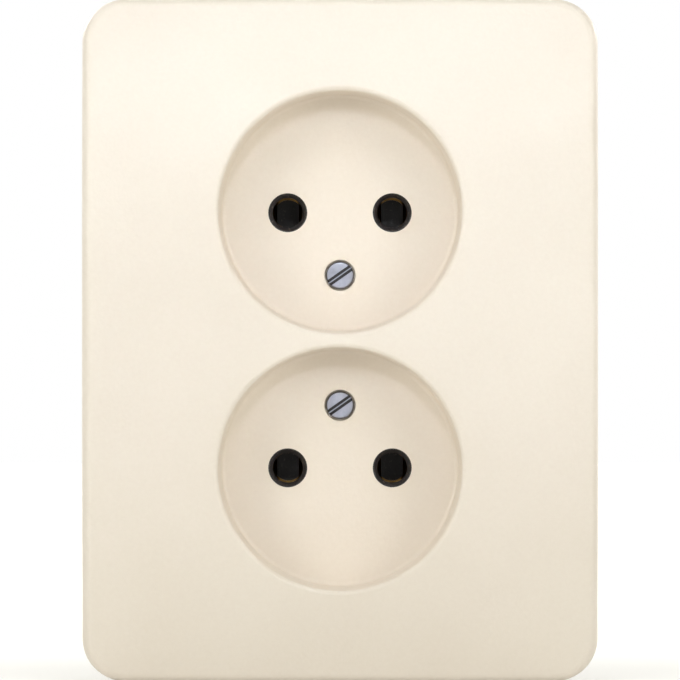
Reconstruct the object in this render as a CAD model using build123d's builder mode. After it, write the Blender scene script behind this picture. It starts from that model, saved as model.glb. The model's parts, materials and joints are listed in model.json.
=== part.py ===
from build123d import *
import os
from math import radians, tan

# Flush two-way wall socket without earth, for an oblong device box.
# The wall face is the plane y = 0. The front looks along -Y and +Z is up. The origin
# lies in the wall face, midway between the two box screws. Lengths are millimetres.

# Round pins and wells
pin_spacing = 19.0
socket_pitch = 46.4
well_mouth_diameter = 43.8
well_depth = 15.0
well_draft = 1.5
well_wall = 2.0
well_floor_thickness = 2.2
well_floor_radius = 0.8
well_lip_radius = 0.85
pin_clearance_diameter = 7.1

# Cover plate: flat across the middle, crowned towards the top and the bottom
plate_width = 93.1
plate_height = 123.3
plate_corner_radius = 7.85
plate_projection = 11.0
plate_flat_height = 40.0
plate_crown = 4.0
plate_wall = 2.2
plate_edge_radius = 1.7
cover_rib_thickness = 1.2
cover_rib_spacing_x = 66.0
cover_rib_gap = 2.4

# Screws that hold the cover, between each pair of pins and the middle of the plate
cover_screw_offset = 11.4
cover_screw_head_diameter = 5.0
cover_screw_head_height = 1.5
cover_screw_shank_diameter = 2.9
cover_screw_length = 11.5
cover_screw_slot_width = 1.2
cover_screw_slot_depth = 0.9
cover_screw_slot_angle = 35.0
cover_screw_ring_gap = 0.35
cover_screw_sink = 0.1
cover_seat_diameter = 9.0
cover_seat_height = 0.3

# Brass inserts that the cover screws go into
insert_diameter = 5.0
insert_length = 7.0
insert_groove_width = 1.2
insert_groove_depth = 0.4

# Steel mounting frame
frame_width = 76.0
frame_height = 106.0
frame_corner_radius = 6.0
frame_thickness = 1.2
frame_flange_height = 3.0
frame_edge_radius = 0.8
frame_opening_gap = 0.5
frame_waist_width = 44.0
frame_waist_height = 34.0
frame_waist_radius = 2.0
box_screw_spacing = 60.0
box_slot_width = 4.2
box_slot_length = 9.0
frame_hole_diameter = 4.2
frame_hole_spacing_x = 60.0
frame_hole_spacing_z = 92.0

# Rivets and the lugs of the base under the frame
rivet_side_offset = 2.8
rivet_spacing_z = 26.0
rivet_diameter = 3.0
rivet_head_diameter = 5.0
rivet_head_height = 0.8
rivet_head_radius = 0.5
lug_diameter = 6.8
lug_length = 12.0

# Base
base_width = 48.0
base_height = 90.0
base_corner_radius = 18.0
base_back = 28.0
base_edge_radius = 2.0
base_front_chamfer = 0.6
core_depth = 16.0
core_wall = 2.5
core_rib_thickness = 1.6
core_rib_spacing = 11.0
core_middle_height = 24.0

# Contact covers, one for each well
contact_cover_width = 34.0
contact_cover_waist_width = 28.0
contact_cover_waist_height = 14.8
contact_cover_height = 33.5
contact_cover_thickness = 3.0
contact_cover_corner_radius = 2.0
pin_hole_diameter = 5.5
pin_hole_chamfer = 0.5
contact_screw_diameter = 2.4
contact_screw_head_diameter = 4.6
contact_screw_head_height = 1.1
contact_screw_length = 9.0
contact_screw_slot_width = 0.8
contact_screw_slot_depth = 0.7

# Contact rails: a strip, a spring clip at each pin and a terminal tab
pin_length = 19.0
pin_tip_gap = 1.0
pin_tip_hole_diameter = 5.2
brass_thickness = 0.8
strip_width = 6.2
clip_length = 9.0
clip_root_half_gap = 2.9
clip_pinch_half_gap = 1.95
clip_mouth_half_gap = 3.2
clip_pinch_rise = 9.5
clip_mouth_rise = 13.0
clip_bend_radius = 1.2
tab_leg_offset = 4.6
tab_rise = 12.4
tab_reach = 7.9
tab_height = 18.4
tab_split_width = 2.6
tab_bend_radius = 0.6

# Steel springs round the clips
spring_thickness = 0.5
spring_length = 7.4
spring_gap = 0.1
spring_end_rise = 8.8
spring_bend_radius = 0.8

# Terminals
terminal_spacing = 10.4
terminal_from_leg = 3.9
terminal_screw_diameter = 3.4
terminal_screw_length = 9.6
terminal_head_diameter = 6.0
terminal_head_height = 2.2
terminal_slot_width = 1.0
terminal_slot_depth = 1.1
clamp_size = 7.0
clamp_thickness = 1.2
clamp_corner_radius = 0.8
collar_wall = 0.7
collar_length = 1.4
wire_entry_width = 3.6
divider_thickness = 1.8

# Clearances
thread_gap = 0.05
hole_gap = 0.15
pocket_gap = 0.3
flex_gap = 0.6
cut_margin = 1.0

# Depths behind the wall face, worked out from the sizes above
well_floor_front = well_depth - plate_projection
well_floor_back = well_floor_front + well_floor_thickness
base_front = well_floor_back + cover_seat_height
contact_cover_back = base_front + contact_cover_thickness
strip_front = well_floor_front + pin_length + pin_tip_gap
strip_back = strip_front + brass_thickness
spring_back = strip_back + spring_gap + spring_thickness
tab_back = strip_back - tab_rise
tab_front = tab_back - brass_thickness
clamp_front = tab_front - clamp_thickness
cover_screw_front = well_floor_front + cover_screw_sink
cover_screw_seat = cover_screw_front + cover_screw_head_height
insert_back = contact_cover_back + insert_length
frame_flange_front = -frame_thickness - frame_flange_height
cover_rib_back = frame_flange_front - cover_rib_gap

# Places across the front
rail_x = pin_spacing / 2
socket_z = socket_pitch / 2
cover_screw_z = socket_z - cover_screw_offset
leg_x = rail_x + tab_leg_offset
tab_end_x = leg_x + tab_reach
split_start_x = leg_x + tab_bend_radius + brass_thickness
ledge_x = leg_x + tab_bend_radius + hole_gap
terminal_x = leg_x + terminal_from_leg
terminal_z = terminal_spacing / 2
rivet_spacing_x = base_width + 2 * rivet_side_offset
lug_x = rivet_spacing_x / 2
lug_z = rivet_spacing_z / 2

well_centres = [(0, socket_z), (0, -socket_z)]
cover_screw_points = [(0, cover_screw_z), (0, -cover_screw_z)]
pin_points = [(x, z) for z in (socket_z, -socket_z) for x in (-rail_x, rail_x)]
lug_points = [(x, z) for z in (lug_z, -lug_z) for x in (-lug_x, lug_x)]
terminal_points = [(x, z) for z in (terminal_z, -terminal_z) for x in (-terminal_x, terminal_x)]
ends = {"upper": 1, "lower": -1}


def wall_plane(depth):
    """Plane parallel to the wall, depth behind its face, as seen from the room."""
    return Plane.XZ.offset(-depth)


def cross_section(x, z):
    """Level plane at height z with its middle at x; its second axis runs into the wall."""
    return Plane(origin=(x, 0, z), x_dir=(1, 0, 0), z_dir=(0, 0, 1))


def on_plane(plane, points):
    """Locations of points that are given in a plane."""
    return [plane * Pos(x, z) for x, z in points]


def depth_axis(height):
    """Axis in the middle of the plate at a height, running into the wall."""
    return Axis((0, 0, height), (0, 1, 0))


def well_radius(depth):
    """Inner radius of a drafted well at a depth behind the wall face."""
    return well_mouth_diameter / 2 - (depth + plate_projection) * tan(radians(well_draft))


def draw_contact_cover(end, gap):
    """Draw the T-shaped outline of a contact cover above or below the middle, grown by a gap."""
    head_height = contact_cover_height - contact_cover_waist_height
    with Locations((0, end * (contact_cover_waist_height + head_height / 2))):
        RectangleRounded(
            contact_cover_width + 2 * gap,
            head_height + 2 * gap,
            contact_cover_corner_radius + gap,
        )
    stem_start = hole_gap - gap
    stem_end = contact_cover_waist_height + contact_cover_corner_radius
    with Locations((0, end * (stem_start + stem_end) / 2)):
        Rectangle(contact_cover_waist_width + 2 * gap, stem_end - stem_start)


def save(piece, name):
    """Label a finished piece and write it as its own file."""
    piece.part.label = name
    export_step(piece.part, f"parts/{name}.step")


os.makedirs("parts", exist_ok=True)

# Well plugs: the outer form of both wells, from the front plane to the back of the floor
with BuildPart() as well_plugs:
    for height in (socket_z, -socket_z):
        with BuildSketch(Plane.YZ):
            with BuildLine():
                Polyline(
                    (-plate_projection, height),
                    (-plate_projection, height + well_radius(-plate_projection) + well_wall),
                    (well_floor_back, height + well_radius(well_floor_back) + well_wall),
                    (well_floor_back, height),
                    close=True,
                )
            make_face()
        revolve(axis=depth_axis(height))

# Hollow behind the plate: its outline less the wall, under the crown, round plugs and ribs
crown_reach = (plate_height - plate_flat_height) / 2
crown_radius = (crown_reach**2 + plate_crown**2) / (2 * plate_crown)
crown_centre = crown_radius - plate_projection
with BuildPart() as hollow:
    with BuildSketch(wall_plane(cut_margin)):
        RectangleRounded(
            plate_width - 2 * plate_wall,
            plate_height - 2 * plate_wall,
            plate_corner_radius - plate_wall,
        )
    extrude(amount=plate_projection + cut_margin)
    with BuildSketch(Plane.YZ):
        with Locations((crown_centre, 0)):
            SlotCenterToCenter(plate_flat_height, 2 * (crown_radius - plate_wall), rotation=90)
    extrude(amount=plate_width, both=True, mode=Mode.INTERSECT)
    add(well_plugs.part, mode=Mode.SUBTRACT)
    with BuildSketch(wall_plane(cover_rib_back)):
        with GridLocations(0, socket_pitch / 2, 1, 3):
            Rectangle(plate_width, cover_rib_thickness)
        with GridLocations(cover_rib_spacing_x, 0, 2, 1):
            Rectangle(cover_rib_thickness, plate_height)
    extrude(amount=plate_projection, mode=Mode.SUBTRACT)

# Cover: plate, rim and wells in one moulding. Each fillet runs on along the smooth line of its edge
with BuildPart() as cover:
    with BuildSketch(wall_plane(0)):
        RectangleRounded(plate_width, plate_height, plate_corner_radius)
    extrude(amount=plate_projection)
    add(well_plugs.part)
    with BuildSketch(Plane.YZ):
        with Locations((crown_centre, 0)):
            SlotCenterToCenter(plate_flat_height, 2 * crown_radius, rotation=90)
    extrude(amount=plate_width, both=True, mode=Mode.INTERSECT)
    rim_edge = cover.edges().sort_by_distance((plate_width / 2, -plate_projection, 0))[0]
    fillet(rim_edge, radius=plate_edge_radius)
    add(hollow.part, mode=Mode.SUBTRACT)
    for height in (socket_z, -socket_z):
        mouth_front = -plate_projection - cut_margin
        with BuildSketch(Plane.YZ):
            with BuildLine():
                wall_line = FilletPolyline(
                    (mouth_front, height + well_radius(mouth_front)),
                    (well_floor_front, height + well_radius(well_floor_front)),
                    (well_floor_front, height),
                    radius=well_floor_radius,
                )
                Polyline(wall_line @ 1, (mouth_front, height), wall_line @ 0)
            make_face()
        revolve(axis=depth_axis(height), mode=Mode.SUBTRACT)
    mouth_points = [(well_radius(-plate_projection), -plate_projection, z) for _, z in well_centres]
    mouth_edges = [cover.edges().sort_by_distance(point)[0] for point in mouth_points]
    fillet(mouth_edges, radius=well_lip_radius)
    with BuildSketch(wall_plane(base_front)):
        with Locations(*cover_screw_points):
            Circle(cover_seat_diameter / 2)
    extrude(amount=cover_seat_height)
    with Locations(on_plane(wall_plane(well_floor_front), pin_points)):
        Hole(pin_clearance_diameter / 2, depth=well_floor_thickness + cut_margin)
    with Locations(on_plane(wall_plane(well_floor_front), cover_screw_points)):
        CounterBoreHole(
            radius=cover_screw_shank_diameter / 2 + hole_gap,
            counter_bore_radius=cover_screw_head_diameter / 2 + cover_screw_ring_gap,
            counter_bore_depth=cover_screw_sink + cover_screw_head_height,
            depth=well_floor_thickness + cover_seat_height + cut_margin,
        )
save(cover, "cover")

# Cover screws: two alike, slotted, with low domed heads
with BuildPart() as cover_screws:
    with BuildSketch(wall_plane(cover_screw_seat)):
        with Locations(*cover_screw_points):
            Circle(cover_screw_head_diameter / 2)
    extrude(amount=cover_screw_head_height)
    fillet(cover_screws.faces().group_by(Axis.Y)[0].edges(), radius=cover_screw_head_height / 4)
    with BuildSketch(wall_plane(cover_screw_front)):
        with Locations(*cover_screw_points):
            Rectangle(
                cover_screw_head_diameter + cut_margin,
                cover_screw_slot_width,
                rotation=cover_screw_slot_angle,
            )
    extrude(amount=-cover_screw_slot_depth, mode=Mode.SUBTRACT)
    with BuildSketch(wall_plane(cover_screw_seat)):
        with Locations(*cover_screw_points):
            Circle(cover_screw_shank_diameter / 2)
    extrude(amount=-cover_screw_length)
    chamfer(
        cover_screws.faces().group_by(Axis.Y)[-1].edges(),
        length=cover_screw_shank_diameter / 8,
    )
save(cover_screws, "cover_screws")

# Mounting frame: stamped plate with forward flanges along its long sides
with BuildPart() as mounting_frame:
    with BuildSketch(wall_plane(0)) as frame_outline:
        RectangleRounded(frame_width, frame_height, frame_corner_radius)
        with Locations(*well_centres):
            Circle(well_radius(-frame_thickness) + well_wall + frame_opening_gap, mode=Mode.SUBTRACT)
        Rectangle(frame_waist_width, frame_waist_height, mode=Mode.SUBTRACT)
        waist_corners = frame_outline.vertices().group_by(SortBy.DISTANCE)[0]
        fillet(waist_corners, radius=frame_waist_radius)
        with GridLocations(box_screw_spacing, 0, 2, 1):
            SlotOverall(box_slot_length, box_slot_width, mode=Mode.SUBTRACT)
        with GridLocations(frame_hole_spacing_x, frame_hole_spacing_z, 2, 2):
            Circle(frame_hole_diameter / 2, mode=Mode.SUBTRACT)
        with Locations(*lug_points):
            Circle(rivet_diameter / 2 + thread_gap, mode=Mode.SUBTRACT)
    extrude(amount=frame_thickness)
    with BuildSketch(wall_plane(-frame_thickness)):
        with GridLocations(frame_width - frame_thickness, 0, 2, 1):
            Rectangle(frame_thickness, frame_height - 2 * frame_corner_radius)
    extrude(amount=frame_flange_height)
    back_edges = mounting_frame.faces().sort_by(Axis.Y)[-1].outer_wire().edges()
    fillet(back_edges, radius=frame_edge_radius)
save(mounting_frame, "mounting_frame")

# Rivets: four alike, from the front of the frame to the back of the lugs
with BuildPart() as frame_rivets:
    with BuildSketch(wall_plane(lug_length + rivet_head_height)):
        with Locations(*lug_points):
            Circle(rivet_head_diameter / 2)
    extrude(amount=rivet_head_height)
    with BuildSketch(wall_plane(lug_length)):
        with Locations(*lug_points):
            Circle(rivet_diameter / 2)
    extrude(amount=lug_length + frame_thickness)
    with BuildSketch(wall_plane(-frame_thickness)):
        with Locations(*lug_points):
            Circle(rivet_head_diameter / 2)
    extrude(amount=rivet_head_height)
    head_faces = frame_rivets.faces().group_by(Axis.Y)
    fillet(head_faces[0].edges() + head_faces[-1].edges(), radius=rivet_head_radius)
save(frame_rivets, "frame_rivets")

# Base: oblong body with four riveting lugs
chamber_width = 2 * (clip_root_half_gap + brass_thickness + spring_gap + spring_thickness + flex_gap)
chamber_length = clip_length + 2 * pocket_gap
terminal_hole_radius = terminal_screw_diameter / 2 + thread_gap + collar_wall + pocket_gap
pocket_height = tab_height + 2 * pocket_gap
with BuildPart() as base:
    with BuildSketch(wall_plane(base_back)):
        RectangleRounded(base_width, base_height, base_corner_radius)
    extrude(amount=base_back - base_front)
    fillet(base.faces().sort_by(Axis.Y)[-1].edges(), radius=base_edge_radius)
    chamfer(base.faces().sort_by(Axis.Y)[0].edges(), length=base_front_chamfer)
    with BuildSketch(wall_plane(lug_length)):
        for x, z in lug_points:
            with Locations((x / 2, z)):
                Rectangle(abs(x), lug_diameter)
            with Locations((x, z)):
                Circle(lug_diameter / 2)
    extrude(amount=lug_length - base_front - base_front_chamfer)
    with BuildSketch(wall_plane(lug_length)):
        with Locations(*lug_points):
            Circle(lug_diameter / 2)
    extrude(amount=lug_length)
    with Locations(on_plane(wall_plane(0), lug_points)):
        Hole(rivet_diameter / 2 + thread_gap, depth=lug_length)

    # Seats of the contact covers
    with BuildSketch(wall_plane(base_front)):
        for end in ends.values():
            draw_contact_cover(end, hole_gap)
    extrude(amount=-contact_cover_thickness, mode=Mode.SUBTRACT)

    # Chambers of the clips, channels of the strips and room for the legs of the tabs
    with BuildSketch(wall_plane(contact_cover_back)):
        with Locations(*pin_points):
            Rectangle(chamber_width, chamber_length)
    extrude(amount=contact_cover_back - spring_back, mode=Mode.SUBTRACT)
    with BuildSketch(wall_plane(contact_cover_back)):
        with GridLocations(pin_spacing, 0, 2, 1):
            Rectangle(strip_width + 2 * pocket_gap, socket_pitch)
        for side in (-1, 1):
            with Locations((side * (rail_x + ledge_x) / 2, 0)):
                Rectangle(ledge_x - rail_x, pocket_height)
    extrude(amount=contact_cover_back - strip_back, mode=Mode.SUBTRACT)

    # Terminal pockets, each split by a divider, with wire entries through the sides
    with BuildSketch(wall_plane(base_front)):
        for side in (-1, 1):
            with Locations((side * (rail_x + tab_end_x + pocket_gap) / 2, 0)):
                Rectangle(tab_end_x + pocket_gap - rail_x, pocket_height)
            with Locations((side * (split_start_x + pocket_gap + base_width / 2) / 2, 0)):
                divider_length = base_width / 2 - split_start_x - pocket_gap
                Rectangle(divider_length, divider_thickness, mode=Mode.SUBTRACT)
    extrude(amount=base_front - tab_back, mode=Mode.SUBTRACT)
    with BuildSketch(wall_plane(base_front)):
        for x, z in terminal_points:
            side = x / abs(x)
            with Locations((side * (tab_end_x + base_width / 2) / 2, z)):
                Rectangle(base_width / 2 - tab_end_x + cut_margin, wire_entry_width)
    extrude(amount=base_front - tab_front, mode=Mode.SUBTRACT)
    with Locations(on_plane(wall_plane(tab_back), terminal_points)):
        Hole(terminal_hole_radius, depth=terminal_screw_length)

    # Bores for the inserts, the tips of the cover screws and the contact cover screws
    with Locations(on_plane(wall_plane(contact_cover_back), cover_screw_points)):
        CounterBoreHole(
            radius=cover_screw_shank_diameter / 2 + hole_gap,
            counter_bore_radius=insert_diameter / 2,
            counter_bore_depth=insert_length,
            depth=cover_screw_seat + cover_screw_length + cut_margin - contact_cover_back,
        )
    with Locations(on_plane(wall_plane(contact_cover_back), well_centres)):
        Hole(contact_screw_diameter / 2 + thread_gap, depth=contact_screw_length)

    # Coring from the back, round the chambers, with ribs across it
    with BuildSketch(wall_plane(base_back)):
        RectangleRounded(
            base_width - 2 * core_wall,
            base_height - 2 * core_wall,
            base_corner_radius - core_wall,
        )
        Rectangle(base_width, core_middle_height, mode=Mode.SUBTRACT)
        Rectangle(
            pin_spacing + chamber_width + 2 * core_wall,
            socket_pitch + chamber_length + 2 * core_wall,
            mode=Mode.SUBTRACT,
        )
        with GridLocations(core_rib_spacing, 0, 3, 1):
            Rectangle(core_rib_thickness, base_height, mode=Mode.SUBTRACT)
    extrude(amount=core_depth, mode=Mode.SUBTRACT)
save(base, "base")

# Threaded inserts: two alike, with a groove round the middle
with BuildPart() as threaded_inserts:
    with BuildSketch(wall_plane(insert_back)):
        with Locations(*cover_screw_points):
            Circle(insert_diameter / 2)
            Circle(cover_screw_shank_diameter / 2 + thread_gap, mode=Mode.SUBTRACT)
    extrude(amount=insert_length)
    with BuildSketch(wall_plane(insert_back - (insert_length - insert_groove_width) / 2)):
        with Locations(*cover_screw_points):
            Circle(insert_diameter / 2 + cut_margin)
            Circle(insert_diameter / 2 - insert_groove_depth, mode=Mode.SUBTRACT)
    extrude(amount=insert_groove_width, mode=Mode.SUBTRACT)
save(threaded_inserts, "threaded_inserts")

# Contact covers: dark T-shaped plates with the round pin holes
for name, end in ends.items():
    pins = [(-rail_x, end * socket_z), (rail_x, end * socket_z)]
    with BuildPart() as contact_cover:
        with BuildSketch(wall_plane(contact_cover_back)):
            draw_contact_cover(end, 0)
        extrude(amount=contact_cover_thickness)
        with Locations(on_plane(wall_plane(base_front), pins)):
            Hole(pin_hole_diameter / 2, depth=contact_cover_thickness)
        front_face = contact_cover.faces().sort_by(Axis.Y)[0]
        rims = [edge for wire in front_face.inner_wires() for edge in wire.edges()]
        chamfer(rims, length=pin_hole_chamfer)
        with Locations(on_plane(wall_plane(base_front), [(0, end * cover_screw_z)])):
            Hole(cover_screw_shank_diameter / 2 + hole_gap, depth=contact_cover_thickness)
        with Locations(on_plane(wall_plane(base_front), [(0, end * socket_z)])):
            CounterSinkHole(
                radius=contact_screw_diameter / 2 + hole_gap,
                counter_sink_radius=contact_screw_head_diameter / 2 + hole_gap,
                depth=contact_cover_thickness,
                counter_sink_angle=90,
            )
    save(contact_cover, f"contact_cover_{name}")

# Contact cover screws: two alike, countersunk, flush with the contact covers
with BuildPart() as contact_cover_screws:
    for height in (socket_z, -socket_z):
        with BuildSketch(Plane.YZ):
            with BuildLine():
                Polyline(
                    (base_front, height),
                    (base_front, height + contact_screw_head_diameter / 2),
                    (base_front + contact_screw_head_height, height + contact_screw_diameter / 2),
                    (base_front + contact_screw_length, height + contact_screw_diameter / 2),
                    (base_front + contact_screw_length, height),
                    close=True,
                )
            make_face()
        revolve(axis=depth_axis(height))
    with BuildSketch(wall_plane(base_front)):
        with Locations(*well_centres):
            Rectangle(contact_screw_head_diameter, contact_screw_slot_width)
    extrude(amount=-contact_screw_slot_depth, mode=Mode.SUBTRACT)
save(contact_cover_screws, "contact_cover_screws")

# Right contact rail: the strip, a U-shaped clip at each pin and the Z-shaped terminal tab
with BuildPart() as contact_rail_right:
    with BuildSketch(wall_plane(strip_back)):
        with Locations((rail_x, 0)):
            Rectangle(strip_width, socket_pitch + clip_length)
    extrude(amount=brass_thickness)
    for height in (socket_z, -socket_z):
        with BuildSketch(cross_section(rail_x, height)):
            with BuildLine():
                FilletPolyline(
                    (0, strip_front),
                    (clip_root_half_gap, strip_front),
                    (clip_pinch_half_gap, strip_front - clip_pinch_rise),
                    (clip_mouth_half_gap, strip_front - clip_mouth_rise),
                    radius=clip_bend_radius,
                )
                offset(amount=brass_thickness, side=Side.LEFT)
            make_face()
            mirror(about=Plane.YZ)
        extrude(amount=clip_length / 2, both=True)
    with BuildSketch(cross_section(rail_x, 0)):
        with BuildLine():
            FilletPolyline(
                (-strip_width / 2, strip_back),
                (tab_leg_offset, strip_back),
                (tab_leg_offset, tab_back),
                (tab_leg_offset + tab_reach, tab_back),
                radius=(tab_bend_radius + brass_thickness, tab_bend_radius),
            )
            offset(amount=brass_thickness, side=Side.RIGHT)
        make_face()
    extrude(amount=tab_height / 2, both=True)
    with BuildSketch(wall_plane(tab_back)):
        with Locations((split_start_x + tab_reach / 2, 0)):
            Rectangle(tab_reach, tab_split_width)
    extrude(amount=brass_thickness, both=True, mode=Mode.SUBTRACT)
    right_terminals = [(terminal_x, terminal_z), (terminal_x, -terminal_z)]
    with BuildSketch(wall_plane(tab_back + collar_length)):
        with Locations(*right_terminals):
            Circle(terminal_screw_diameter / 2 + thread_gap + collar_wall)
    extrude(amount=collar_length)
    with Locations(on_plane(wall_plane(tab_front), right_terminals)):
        Hole(terminal_screw_diameter / 2 + thread_gap, depth=brass_thickness + collar_length)
    with Locations(on_plane(wall_plane(strip_front), [(rail_x, socket_z), (rail_x, -socket_z)])):
        Hole(pin_tip_hole_diameter / 2, depth=brass_thickness)
save(contact_rail_right, "contact_rail_right")

# Left contact rail: the same bent the other way
with BuildPart() as contact_rail_left:
    mirror(contact_rail_right.part, about=Plane.YZ)
save(contact_rail_left, "contact_rail_left")

# Contact springs: steel clips that lie round the brass ones
spring_base = strip_back + spring_gap
spring_offset = brass_thickness + spring_gap
clip_lean = (clip_root_half_gap - clip_pinch_half_gap) / clip_pinch_rise
spring_end_half_gap = clip_root_half_gap - clip_lean * spring_end_rise + spring_offset
for number, (x, z) in enumerate(pin_points, start=1):
    with BuildPart() as contact_spring:
        with BuildSketch(cross_section(x, z)):
            with BuildLine():
                FilletPolyline(
                    (0, spring_base),
                    (clip_root_half_gap + spring_offset, spring_base),
                    (spring_end_half_gap, strip_front - spring_end_rise),
                    radius=spring_bend_radius,
                )
                offset(amount=spring_thickness, side=Side.LEFT)
            make_face()
            mirror(about=Plane.YZ)
        extrude(amount=spring_length / 2, both=True)
        with Locations(on_plane(wall_plane(spring_base), [(x, z)])):
            Hole(pin_tip_hole_diameter / 2, depth=spring_thickness)
    save(contact_spring, f"contact_spring_{number}")

# Terminal clamps: square plates between the screw heads and the tabs
for number, (x, z) in enumerate(terminal_points, start=1):
    with BuildPart() as terminal_clamp:
        with BuildSketch(wall_plane(tab_front)):
            with Locations((x, z)):
                RectangleRounded(clamp_size, clamp_size, clamp_corner_radius)
                Circle(terminal_screw_diameter / 2 + hole_gap, mode=Mode.SUBTRACT)
        extrude(amount=clamp_thickness)
    save(terminal_clamp, f"terminal_clamp_{number}")

# Terminal screws: four alike, slotted cheese heads
with BuildPart() as terminal_screws:
    with BuildSketch(wall_plane(clamp_front)):
        with Locations(*terminal_points):
            Circle(terminal_head_diameter / 2)
    extrude(amount=terminal_head_height)
    with BuildSketch(wall_plane(clamp_front - terminal_head_height)):
        with Locations(*terminal_points):
            Rectangle(terminal_head_diameter + cut_margin, terminal_slot_width)
    extrude(amount=-terminal_slot_depth, mode=Mode.SUBTRACT)
    with BuildSketch(wall_plane(clamp_front)):
        with Locations(*terminal_points):
            Circle(terminal_screw_diameter / 2)
    extrude(amount=-terminal_screw_length)
save(terminal_screws, "terminal_screws")
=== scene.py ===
"""Looks of the flush two-way wall socket: materials, light, floor and camera.

Lengths are metres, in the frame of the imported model: the wall face is y = 0, the front
looks along -Y and +Z is up.
"""
import json
from math import atan, cos, pi, radians, sin, tan

import bpy
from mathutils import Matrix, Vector


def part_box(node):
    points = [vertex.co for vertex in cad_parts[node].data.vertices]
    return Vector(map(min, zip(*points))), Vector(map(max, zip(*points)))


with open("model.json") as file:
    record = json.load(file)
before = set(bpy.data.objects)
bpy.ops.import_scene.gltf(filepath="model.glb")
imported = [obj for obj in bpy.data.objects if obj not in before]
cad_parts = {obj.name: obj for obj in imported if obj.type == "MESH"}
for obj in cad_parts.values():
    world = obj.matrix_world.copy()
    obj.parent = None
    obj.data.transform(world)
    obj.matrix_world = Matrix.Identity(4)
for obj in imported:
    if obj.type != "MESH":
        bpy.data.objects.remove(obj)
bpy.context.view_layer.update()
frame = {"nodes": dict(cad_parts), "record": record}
nodes = frame["nodes"]

MM = 0.001
WHITE = (1.0, 1.0, 1.0, 1.0)

# Camera: level and straight in front, so far off that the plate shows without perspective
IMAGE_SIZE = 680
PLATE_CENTRE_PIXEL = (340.0, 340.3)
PLATE_HEIGHT_PIXELS = 679.9
SENSOR_WIDTH = 36.0
LENS = 500.0
FARTHEST_SEEN = 100.0

# Steps of an sRGB colour, and the curve from them to a linear colour
COLOUR_STEPS = 255
CURVE_TOE = 0.04045
CURVE_TOE_SLOPE = 12.92
CURVE_OFFSET = 0.055
CURVE_POWER = 2.4

# Middle stretch of a noise, which is spread over the whole of a range
NOISE_LOW = 0.3
NOISE_HIGH = 0.7

# Cream plastic of the cover: flow of colour, fine grain, patches that hands wipe, slight waves
CREAM_FLOW_SIZE = 28 * MM
CREAM_FLOW_SHARE = 0.6
CREAM_GRAIN_SIZE = 0.7 * MM
CREAM_GRAIN_DEPTH = 0.035 * MM
CREAM_GRAIN_ROUGHNESS = (-0.03, 0.05)
CREAM_WIPED_SIZE = 9 * MM
CREAM_WIPED_ROUGHNESS = (0.3, 0.4)
CREAM_WAVE_DEPTH = 0.02 * MM
CREAM_SPECULAR = 0.45

# Dark plastics inside: flow marks drawn out in height, and specks where the filler shows
MOULD_FLOW_SIZE = 5 * MM
MOULD_FLOW_SCALE = (1.0, 1.0, 0.35)
MOULD_FLOW_DEPTH = 0.06 * MM
MOULD_ROUGHNESS_SPREAD = 0.1
FILLER_SIZE = 0.55 * MM
FILLER_DEPTH = 0.012 * MM
FILLER_SHOWS = (0.6, 0.72)

# Screw heads: the way of the slot, and the strip along its middle that the painted shade leaves out
SLOT_ANGLE = radians(35)
MIDDLE_STRIP_HALF_WIDTH = 0.1 * MM
MIDDLE_STRIP_SOFTNESS = 0.4
MIDDLE_STRIP_SHADE = 0.0

# Screw heads: depths between which painted shade sets in, turned rings and clouds in the plating
PAINTED_SHADE_STARTS = 0.1 * MM
PAINTED_SHADE_FULL = 0.4 * MM
PAINTED_SHADE_METALLIC = 0.1
PAINTED_SHADE_ROUGHNESS = 0.3
RING_PITCH = 0.22 * MM
RING_WAVES = 2 * pi / RING_PITCH
RING_DEPTH = 0.004 * MM
PLATING_CLOUD_SIZE = 1.6 * MM
PLATING_CLOUD_DEPTH = 0.02 * MM
PLATING_ROUGHNESS = (0.3, 0.42)

# Sheet metal: fine lines along the rolling direction, and clouds
ROLLED_LINE_SIZE = 0.25 * MM
ROLLED_LINE_SCALE = (1.0, 1.0, 0.06)
ROLLED_LINE_DEPTH = 0.004 * MM
ROLLED_ROUGHNESS_BELOW = 0.07
ROLLED_ROUGHNESS_ABOVE = 0.09
SHEET_CLOUD_SIZE = 7 * MM
SHEET_CLOUD_DEPTH = 0.02 * MM

# World light straight up from below and straight down from above, and its colour
WORLD_LIGHT_BELOW = 0.0
WORLD_LIGHT_ABOVE = 0.546
WORLD_COLOUR = (1.0, 0.99, 0.873, 1.0)

# Floor, and the glow that keeps it pale near the socket and white far from it
FLOOR_HALF_WIDTH = 3.0
FLOOR_COLOUR = (0.8, 0.79, 0.77, 1.0)
FLOOR_ROUGHNESS = 0.9
FLOOR_GLOW = (0.25, 0.8)
FLOOR_GLOW_REACH = (0.1, 0.6)

# Lamps: place and target, width and height, power in watts, colour, and cone in degrees
MIDDLE = (0.0, 0.0, 0.0)
FULL_CONE = 180
FILL_LAMP = {"target": MIDDLE, "size": (0.4, 0.4), "power": 2.24, "colour": (1.0, 1.0, 0.935)}
BACK_COLOUR = (1.0, 0.99, 0.97)
LAMPS = {
    "top": {
        "place": (0.0, -0.13, 0.19),
        "target": (0.0, 0.0, 0.02),
        "size": (0.1, 0.1),
        "power": 0.077,
        "colour": (0.87, 0.9, 1.0),
    },
    "front": {
        "place": (0.0, -0.87, 0.27),
        "target": (0.0, 0.0, 0.05),
        "size": (0.3, 0.16),
        "power": 0.022,
        "colour": (0.87, 0.94, 1.0),
        "cone": 9,
    },
    "left": {"place": (-0.65, -0.8, 0.2), **FILL_LAMP},
    "right": {"place": (0.65, -0.8, 0.2), **FILL_LAMP},
    "back_left": {
        "place": (-0.7, 0.8, 0.5),
        "target": MIDDLE,
        "size": (0.4, 0.4),
        "power": 6.0,
        "colour": BACK_COLOUR,
    },
    "back_right": {
        "place": (0.8, 0.6, 0.35),
        "target": MIDDLE,
        "size": (0.3, 0.3),
        "power": 3.5,
        "colour": BACK_COLOUR,
    },
}


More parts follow.
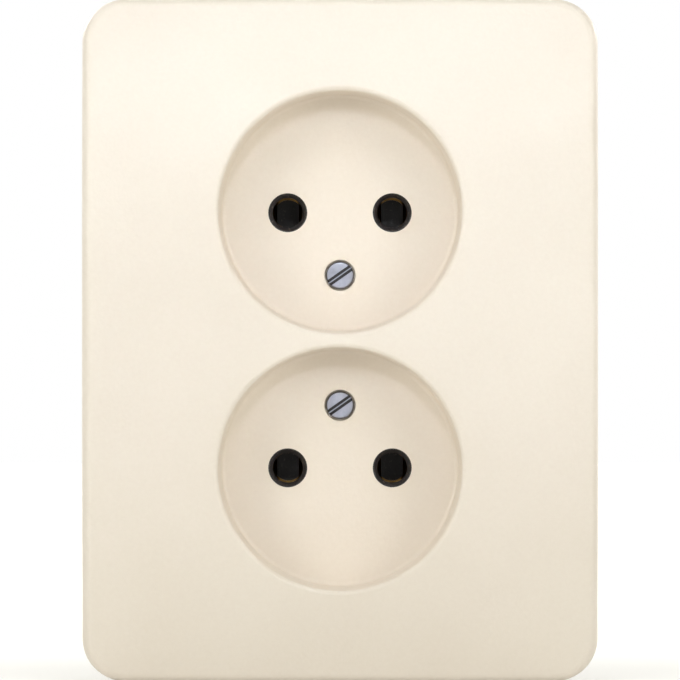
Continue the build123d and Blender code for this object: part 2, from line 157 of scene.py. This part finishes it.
def linear(red, green, blue):
    """Linear colour of an sRGB colour given in steps of 0 to 255."""
    values = []
    for step in (red, green, blue):
        share = step / COLOUR_STEPS
        if share <= CURVE_TOE:
            values.append(share / CURVE_TOE_SLOPE)
        else:
            values.append(((share + CURVE_OFFSET) / (1 + CURVE_OFFSET)) ** CURVE_POWER)
    return (*values, 1.0)


FILLER_COLOUR = linear(86, 77, 70)
# Near black of the painted shade in the screws' slots and round their heads
PAINTED_SHADE_COLOUR = linear(34, 31, 32)


class Tree:
    """A node tree, and short ways to add nodes to it. A value is fixed or a node's output."""

    def __init__(self, tree):
        self.tree = tree

    def add(self, kind, **settings):
        """A new node with its settings."""
        node = self.tree.nodes.new(kind)
        for key, value in settings.items():
            setattr(node, key, value)
        return node

    def feed(self, socket, value):
        """Joins an output to a socket, or sets the socket to a fixed value."""
        if isinstance(value, bpy.types.NodeSocket):
            self.tree.links.new(value, socket)
        else:
            socket.default_value = value

    def math(self, operation, first, second=None):
        """Result of a sum on values."""
        node = self.add("ShaderNodeMath", operation=operation)
        self.feed(node.inputs[0], first)
        if second is not None:
            self.feed(node.inputs[1], second)
        return node.outputs["Value"]

    def vector_math(self, operation, first, second=None):
        """Number that comes of a sum on vectors, such as a length."""
        node = self.add("ShaderNodeVectorMath", operation=operation)
        self.feed(node.inputs[0], first)
        if second is not None:
            self.feed(node.inputs[1], second)
        return node.outputs["Value"]

    def spread(self, value, low, high, start=NOISE_LOW, end=NOISE_HIGH):
        """A value mapped from start..end to low..high."""
        mapped = self.add("ShaderNodeMapRange")
        self.feed(mapped.inputs["From Min"], start)
        self.feed(mapped.inputs["From Max"], end)
        self.feed(mapped.inputs["To Min"], low)
        self.feed(mapped.inputs["To Max"], high)
        self.feed(mapped.inputs["Value"], value)
        return mapped.outputs["Result"]

    def blend(self, value, first, second):
        """A colour between two, by a value."""
        mix = self.add("ShaderNodeMix", data_type="RGBA")
        self.feed(mix.inputs["Factor"], value)
        self.feed(mix.inputs["A"], first)
        self.feed(mix.inputs["B"], second)
        return mix.outputs["Result"]

    def part_of(self, vector, axis):
        """One of the three parts of a vector."""
        split = self.add("ShaderNodeSeparateXYZ")
        self.feed(split.inputs["Vector"], vector)
        return split.outputs[axis]

    def background_rays(self):
        """One for rays that show the background: from the camera, off gloss and through glass."""
        rays = self.add("ShaderNodeLightPath").outputs
        seen = rays["Is Camera Ray"]
        for kind in ("Is Glossy Ray", "Is Transmission Ray"):
            seen = self.math("MAXIMUM", seen, rays[kind])
        return seen


class Shader(Tree):
    """A node material with a Principled shader, made of noises at the object's own scale."""

    def __init__(self, name):
        self.material = bpy.data.materials.new(name)
        self.material.use_nodes = True
        super().__init__(self.material.node_tree)
        self.surface = self.tree.nodes["Principled BSDF"]
        self.place = self.add("ShaderNodeTexCoord").outputs["Object"]

    def set(self, **values):
        """Sets or joins sockets of the surface, with spaces written as underscores."""
        for key, value in values.items():
            self.feed(self.surface.inputs[key.replace("_", " ")], value)

    def stretched(self, scale):
        """Object coordinates scaled differently along the three axes."""
        mapping = self.add("ShaderNodeMapping")
        self.feed(mapping.inputs["Scale"], scale)
        self.feed(mapping.inputs["Vector"], self.place)
        return mapping.outputs["Vector"]

    def noise(self, size, detail=3.0, roughness=0.5, place=None):
        """Noise with grains of a given size in metres."""
        texture = self.add("ShaderNodeTexNoise")
        self.feed(texture.inputs["Scale"], 1 / size)
        self.feed(texture.inputs["Detail"], detail)
        self.feed(texture.inputs["Roughness"], roughness)
        self.feed(texture.inputs["Vector"], place or self.place)
        return texture.outputs["Fac"]

    def bumps(self, layers):
        """Bump from several heights, each with its depth in metres, on the surface's normal."""
        for height, depth in layers:
            bump = self.add("ShaderNodeBump")
            self.feed(bump.inputs["Strength"], 1.0)
            self.feed(bump.inputs["Distance"], depth)
            self.feed(bump.inputs["Height"], height)
            for link in self.surface.inputs["Normal"].links:
                self.feed(bump.inputs["Normal"], link.from_socket)
            self.set(Normal=bump.outputs["Normal"])

    def from_nearer_head(self, height):
        """Coordinates from the axis of the nearer of two screws, above and below the middle."""
        z = self.part_of(self.place, "Z")
        own_height = self.math("MULTIPLY", self.math("SIGN", z), height)
        joined = self.add("ShaderNodeCombineXYZ")
        self.feed(joined.inputs["X"], self.part_of(self.place, "X"))
        self.feed(joined.inputs["Z"], self.math("SUBTRACT", z, own_height))
        return joined.outputs["Vector"]


def moulded_cream(name, light, dark):
    """Satin urea plastic: fine grain, a faint flow of colour, gloss where hands wipe it."""
    shader = Shader(name)
    flow = shader.noise(CREAM_FLOW_SIZE, detail=2.0)
    grain = shader.noise(CREAM_GRAIN_SIZE, detail=3.0, roughness=0.65)
    wiped = shader.noise(CREAM_WIPED_SIZE, detail=4.0)
    waves = shader.noise(CREAM_WIPED_SIZE, detail=1.0)
    flow_tone = shader.spread(flow, 0.0, CREAM_FLOW_SHARE)
    grain_tone = shader.spread(grain, 0.0, 1 - CREAM_FLOW_SHARE)
    wiped_roughness = shader.spread(wiped, *CREAM_WIPED_ROUGHNESS)
    grain_roughness = shader.spread(grain, *CREAM_GRAIN_ROUGHNESS)
    shader.set(
        Base_Color=shader.blend(shader.math("ADD", flow_tone, grain_tone), dark, light),
        Roughness=shader.math("ADD", wiped_roughness, grain_roughness),
        Specular_IOR_Level=CREAM_SPECULAR,
    )
    shader.bumps([(grain, CREAM_GRAIN_DEPTH), (waves, CREAM_WAVE_DEPTH)])
    return shader.material


def dark_moulding(name, light, dark, roughness):
    """Dark thermoset: flow marks, specks of filler and a fine moulded skin."""
    shader = Shader(name)
    drawn_out = shader.stretched(MOULD_FLOW_SCALE)
    flow = shader.noise(MOULD_FLOW_SIZE, detail=5.0, roughness=0.6, place=drawn_out)
    specks = shader.noise(FILLER_SIZE, detail=2.0, roughness=0.6)
    body = shader.blend(shader.spread(flow, 0.0, 1.0), dark, light)
    shader.set(
        Base_Color=shader.blend(shader.spread(specks, 0.0, 1.0, *FILLER_SHOWS), body, FILLER_COLOUR),
        Roughness=shader.spread(
            flow, roughness - MOULD_ROUGHNESS_SPREAD, roughness + MOULD_ROUGHNESS_SPREAD
        ),
    )
    shader.bumps([(specks, FILLER_DEPTH), (flow, MOULD_FLOW_DEPTH)])
    return shader.material


def slotted_zinc(name, light, dark):
    """Zinc plated screws: turned rings round each head, and painted shade in the slot and round the
    head below its face.
    """
    shader = Shader(name)
    low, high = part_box("cover_screws")
    head_radius = (high.x - low.x) / 2
    offset = shader.from_nearer_head(high.z - head_radius)

    # Painted shade lies below the face, and is darkest away from the middle of the slot, where a
    # strip is left unshaded
    across_slot = (-sin(SLOT_ANGLE), 0.0, cos(SLOT_ANGLE))
    from_middle = shader.math("ABSOLUTE", shader.vector_math("DOT_PRODUCT", offset, across_slot))
    # Edges of the middle strip of the slot, where the painted shade fades out
    strip_from = MIDDLE_STRIP_HALF_WIDTH * (1 - MIDDLE_STRIP_SOFTNESS)
    strip_to = MIDDLE_STRIP_HALF_WIDTH * (1 + MIDDLE_STRIP_SOFTNESS)
    corner = shader.spread(from_middle, MIDDLE_STRIP_SHADE, 1.0, strip_from, strip_to)
    depth = shader.part_of(shader.place, "Y")
    sunk = shader.spread(depth, 0.0, 1.0, low.y + PAINTED_SHADE_STARTS, low.y + PAINTED_SHADE_FULL)
    painted_shade = shader.math("MULTIPLY", sunk, corner)

    clouds = shader.noise(PLATING_CLOUD_SIZE, detail=4.0, roughness=0.6)
    plating = shader.blend(shader.spread(clouds, 0.0, 1.0), dark, light)
    plating_roughness = shader.spread(clouds, *PLATING_ROUGHNESS)
    painted_shade_roughness = shader.spread(painted_shade, 0.0, PAINTED_SHADE_ROUGHNESS, 0.0, 1.0)
    # Painted shade: near black, less metallic and rougher in the slot and round the head below its
    # face
    shader.set(
        Base_Color=shader.blend(painted_shade, plating, PAINTED_SHADE_COLOUR),
        Metallic=shader.spread(painted_shade, 1.0, PAINTED_SHADE_METALLIC, 0.0, 1.0),
        Roughness=shader.math("ADD", plating_roughness, painted_shade_roughness),
    )
    from_axis = shader.vector_math("LENGTH", offset)
    rings = shader.math("SINE", shader.math("MULTIPLY", from_axis, RING_WAVES))
    shader.bumps([(rings, RING_DEPTH), (clouds, PLATING_CLOUD_DEPTH)])
    return shader.material


def sheet_metal(name, light, dark, roughness):
    """Rolled or plated metal: fine lines along the rolling direction and soft clouds."""
    shader = Shader(name)
    lines = shader.noise(ROLLED_LINE_SIZE, detail=4.0, place=shader.stretched(ROLLED_LINE_SCALE))
    clouds = shader.noise(SHEET_CLOUD_SIZE, detail=5.0, roughness=0.6)
    shader.set(
        Base_Color=shader.blend(shader.spread(clouds, 0.0, 1.0), dark, light),
        Roughness=shader.spread(
            lines, roughness - ROLLED_ROUGHNESS_BELOW, roughness + ROLLED_ROUGHNESS_ABOVE
        ),
        Metallic=1.0,
    )
    shader.bumps([(lines, ROLLED_LINE_DEPTH), (clouds, SHEET_CLOUD_DEPTH)])
    return shader.material


# Material slots of the record: the finish of each, and what sets it apart from its like
FINISHES = {
    "cover_plastic": (
        moulded_cream,
        {"light": linear(245, 236, 225), "dark": linear(239, 229, 217)},
    ),
    "base_thermoset": (
        dark_moulding,
        {"light": linear(60, 51, 46), "dark": linear(36, 31, 29), "roughness": 0.38},
    ),
    "contact_cover_plastic": (
        dark_moulding,
        {"light": linear(47, 42, 43), "dark": linear(39, 35, 36), "roughness": 0.5},
    ),
    "screw_zinc": (
        slotted_zinc,
        {"light": linear(153, 154, 165), "dark": linear(136, 138, 148)},
    ),
    "frame_steel": (
        sheet_metal,
        {"light": linear(206, 207, 208), "dark": linear(188, 190, 193), "roughness": 0.34},
    ),
    "rivet_steel": (
        sheet_metal,
        {"light": linear(196, 197, 199), "dark": linear(178, 180, 183), "roughness": 0.28},
    ),
    "contact_brass": (
        sheet_metal,
        {"light": linear(178, 143, 86), "dark": linear(112, 84, 48), "roughness": 0.36},
    ),
    "spring_steel": (
        sheet_metal,
        {"light": linear(170, 171, 176), "dark": linear(150, 151, 156), "roughness": 0.3},
    ),
    "clamp_zinc": (
        sheet_metal,
        {"light": linear(200, 197, 180), "dark": linear(184, 180, 160), "roughness": 0.34},
    ),
}


def assign_materials():
    """Gives each node the finish of its slot in the record."""
    materials = {slot: finish(slot, **settings) for slot, (finish, settings) in FINISHES.items()}
    for subpart in frame["record"]["subparts"]:
        mesh = nodes[subpart["node"]].data
        mesh.materials.clear()
        mesh.materials.append(materials[subpart["material_slot"]])


def glowing_floor():
    """Matt pale floor that shows white to the camera and to gloss, apart from its shadows."""
    shader = Shader("floor_white")
    reach = shader.vector_math("LENGTH", shader.place)
    glow = shader.spread(reach, *FLOOR_GLOW, *FLOOR_GLOW_REACH)
    shader.set(
        Base_Color=FLOOR_COLOUR,
        Roughness=FLOOR_ROUGHNESS,
        Emission_Color=WHITE,
        Emission_Strength=shader.math("MULTIPLY", shader.background_rays(), glow),
    )
    return shader.material


def make_floor():
    """Pale floor that the lower edge of the plate stands on."""
    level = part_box("cover")[0].z
    turns = [(-1, -1), (1, -1), (1, 1), (-1, 1)]
    corners = [(x * FLOOR_HALF_WIDTH, y * FLOOR_HALF_WIDTH, level) for x, y in turns]
    mesh = bpy.data.meshes.new("floor")
    mesh.from_pydata(corners, [], [range(len(corners))])
    floor = bpy.data.objects.new("floor", mesh)
    bpy.context.scene.collection.objects.link(floor)
    floor.data.materials.append(glowing_floor())


def make_world():
    """White to the camera and to reflections, and a soft light from above to the rest."""
    world = bpy.data.worlds.new("studio")
    bpy.context.scene.world = world
    world.use_nodes = True
    studio = Tree(world.node_tree)
    seen = studio.background_rays()
    upward = studio.part_of(studio.add("ShaderNodeTexCoord").outputs["Generated"], "Z")
    light = studio.spread(upward, WORLD_LIGHT_BELOW, WORLD_LIGHT_ABOVE, start=-1.0, end=1.0)
    background = studio.tree.nodes["Background"]
    studio.feed(background.inputs["Color"], studio.blend(seen, WORLD_COLOUR, WHITE))
    studio.feed(background.inputs["Strength"], studio.spread(seen, light, 1.0, start=0.0, end=1.0))


def make_lamp(name, place, target, size, power, colour, cone=FULL_CONE):
    """Soft oblong lamp that points at a target, with its light kept to a cone in degrees."""
    data = bpy.data.lights.new(name, "AREA")
    data.shape = "RECTANGLE"
    data.size, data.size_y = size
    data.spread = radians(cone)
    data.energy = power
    data.color = colour
    lamp = bpy.data.objects.new(name, data)
    lamp.location = place
    lamp.visible_camera = False
    lamp.rotation_mode = "QUATERNION"
    lamp.rotation_quaternion = (Vector(target) - Vector(place)).to_track_quat("-Z", "Y")
    bpy.context.scene.collection.objects.link(lamp)


def make_camera():
    """Level camera whose frame the plate fills from top to bottom, as in the photograph."""
    low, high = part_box("cover")
    middle = (low + high) / 2
    pixel = (high.z - low.z) / PLATE_HEIGHT_PIXELS
    frame_height = pixel * IMAGE_SIZE
    half_angle = atan(SENSOR_WIDTH / 2 / LENS)
    distance = frame_height / 2 / tan(half_angle)
    right_of_middle = (PLATE_CENTRE_PIXEL[0] - IMAGE_SIZE / 2) * pixel
    below_middle = (PLATE_CENTRE_PIXEL[1] - IMAGE_SIZE / 2) * pixel
    data = bpy.data.cameras.new("camera")
    data.sensor_width = SENSOR_WIDTH
    data.lens = LENS
    data.clip_end = FARTHEST_SEEN
    camera = bpy.data.objects.new("camera", data)
    camera.location = (middle.x - right_of_middle, -distance, middle.z + below_middle)
    camera.rotation_euler = (radians(90), 0, 0)
    bpy.context.scene.collection.objects.link(camera)
    bpy.context.scene.camera = camera


assign_materials()
make_camera()
make_floor()
make_world()
for lamp_name, setting in LAMPS.items():
    make_lamp(lamp_name, **setting)

bpy.context.scene.view_settings.view_transform = "Standard"
